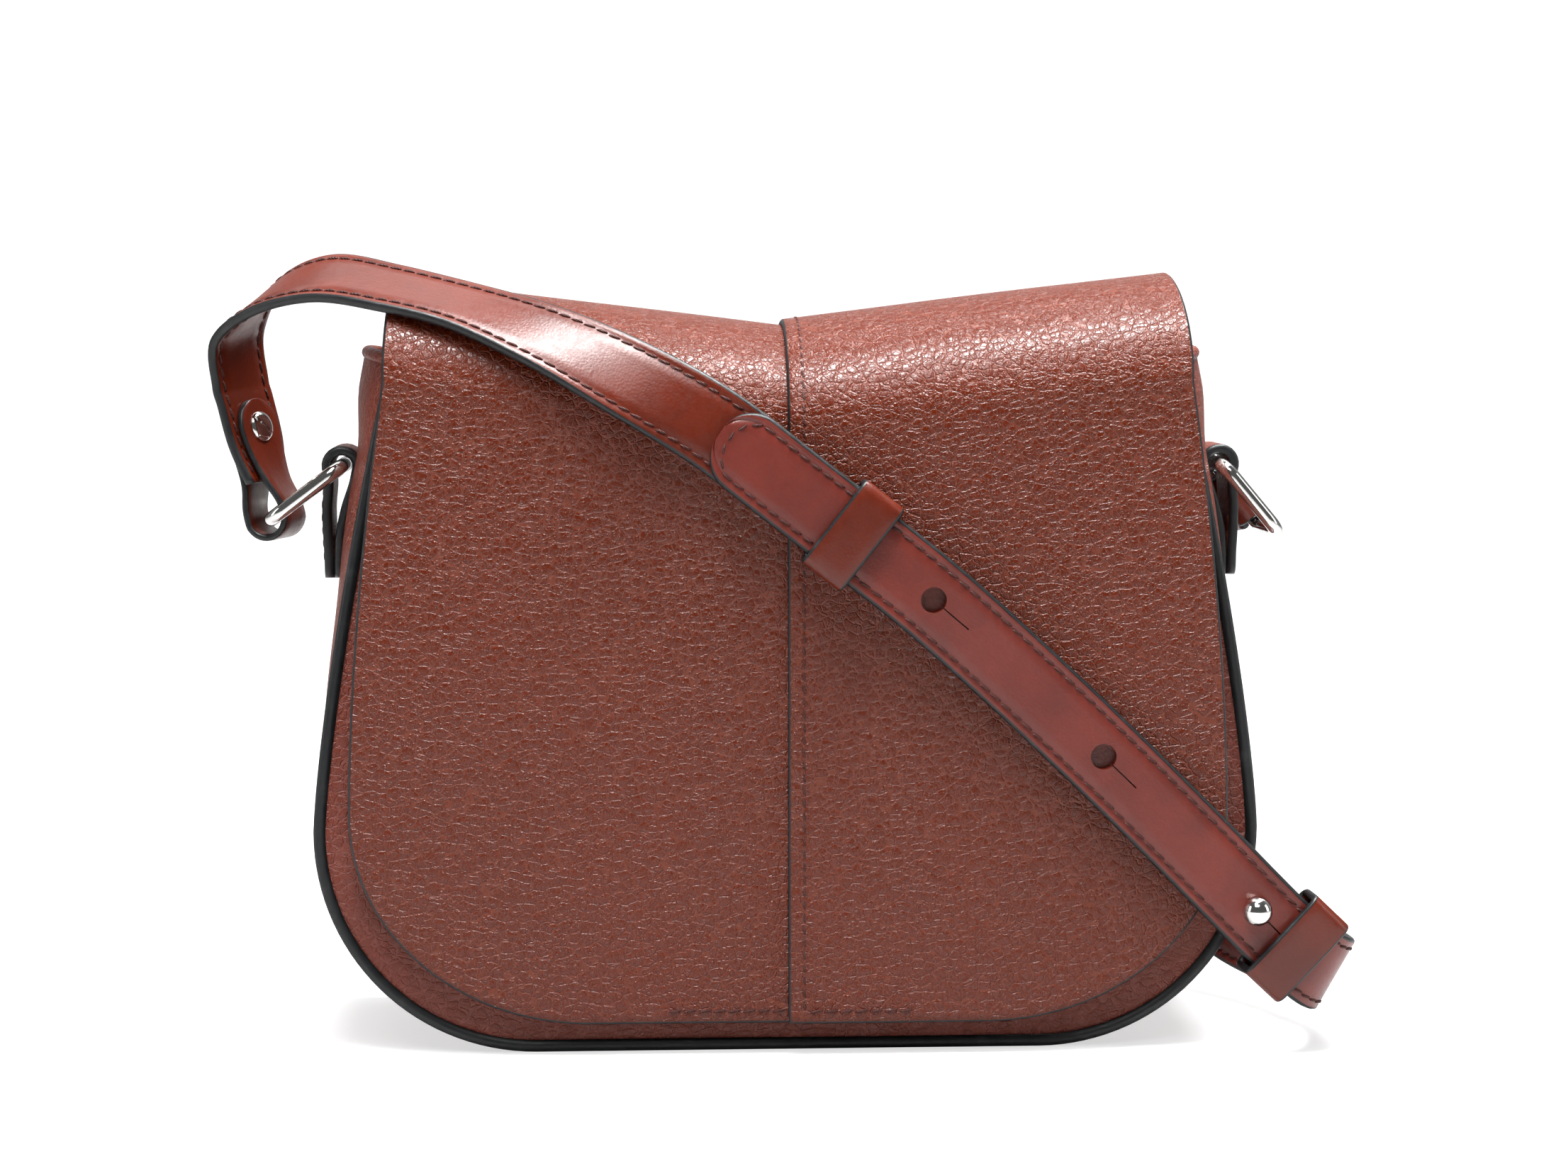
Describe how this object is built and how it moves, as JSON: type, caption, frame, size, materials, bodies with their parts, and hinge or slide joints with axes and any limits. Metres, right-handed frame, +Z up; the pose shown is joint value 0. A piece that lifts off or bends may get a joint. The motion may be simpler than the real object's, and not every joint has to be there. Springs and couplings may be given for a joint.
{
  "type": "crossbody purse",
  "caption": "Saddle-shaped leather shoulder bag with a round-cornered front flap and an adjustable strap hung from metal rings.",
  "frame": {"origin": "middle of the base, on the ground", "axes": "+X to the right seen from the front, +Y to the back, +Z up"},
  "size_m": [0.2915, 0.1097, 0.2022],
  "materials": {
    "pebbled_leather": "pebbled, semi-gloss",
    "strap_leather": "smooth, semi-gloss",
    "painted_edge": "black edge paint, satin",
    "board": "bonded leather board, matt",
    "lining_cloth": "woven cotton, matt",
    "flap_suede": "suede, matt",
    "nickel": "polished",
    "snap_metal": "satin"
  },
  "bodies": {
    "bag": {"front_panel": "pebbled_leather", "rear_panel": "pebbled_leather", "gusset": "pebbled_leather", "front_edge_welt": "painted_edge", "rear_edge_welt": "painted_edge", "front_stiffener": "board", "rear_stiffener": "board", "base_board": "board", "lining": "lining_cloth", "slip_pocket": "lining_cloth", "flap_margin": "pebbled_leather", "front_magnet": "snap_metal", "front_magnet_washer": "snap_metal", "left_chape": "strap_leather", "right_chape": "strap_leather", "adjuster_tail": "strap_leather"},
    "flap": {"flap_left_panel": "pebbled_leather", "flap_right_panel": "pebbled_leather", "flap_stiffener": "board", "flap_lining": "flap_suede", "flap_magnet": "snap_metal", "flap_magnet_washer": "snap_metal"},
    "left_ring": {"left_ring": "nickel"},
    "left_strap_end": {"left_tab": "strap_leather", "left_screw_post": "nickel", "left_screw_cap": "nickel", "long_strap_rise": "strap_leather"},
    "strap_span": {"long_strap_span": "strap_leather", "adjuster_span": "strap_leather", "fixed_keeper": "strap_leather", "adjuster_stud": "nickel", "stud_screw": "nickel"},
    "keeper": {"sliding_keeper": "strap_leather"},
    "right_ring": {"right_ring": "nickel", "right_tab": "strap_leather", "right_screw_post": "nickel", "right_screw_cap": "nickel", "adjuster_end": "strap_leather"}
  },
  "joints": [
    {"name": "flap_hinge", "type": "hinge", "parent": "bag", "child": "flap", "pos_m": [0, 0.0352, 0.1602], "axis": [-1, 0, 0], "range_deg": [0, 105]},
    {"name": "left_ring_swing", "type": "hinge", "parent": "bag", "child": "left_ring", "pos_m": [-0.1138, 0, 0.1475], "axis": [0, 1, 0], "range_deg": [0, 25]},
    {"name": "left_tab_swing", "type": "hinge", "parent": "left_ring", "child": "left_strap_end", "pos_m": [-0.13177, 0, 0.13396], "axis": [0, 1, 0], "range_deg": [-25, 0]},
    {"name": "strap_lift", "type": "hinge", "parent": "left_strap_end", "child": "strap_span", "pos_m": [0, 0.0352, 0.1602], "axis": [-1, 0, 0], "range_deg": [0, 105]},
    {"name": "keeper_slide", "type": "slide", "parent": "strap_span", "child": "keeper", "axis": [0.784, -0.0118, -0.6207], "range_m": [-0.015, 0.012]},
    {"name": "right_ring_swing", "type": "hinge", "parent": "bag", "child": "right_ring", "pos_m": [0.1138, 0, 0.1475], "axis": [0, -1, 0], "range_deg": [0, 30]}
  ],
  "couplings": [
    {"joint": "left_tab_swing", "follows": "left_ring_swing", "ratio": -1},
    {"joint": "strap_lift", "follows": "flap_hinge", "ratio": 1}
  ]
}
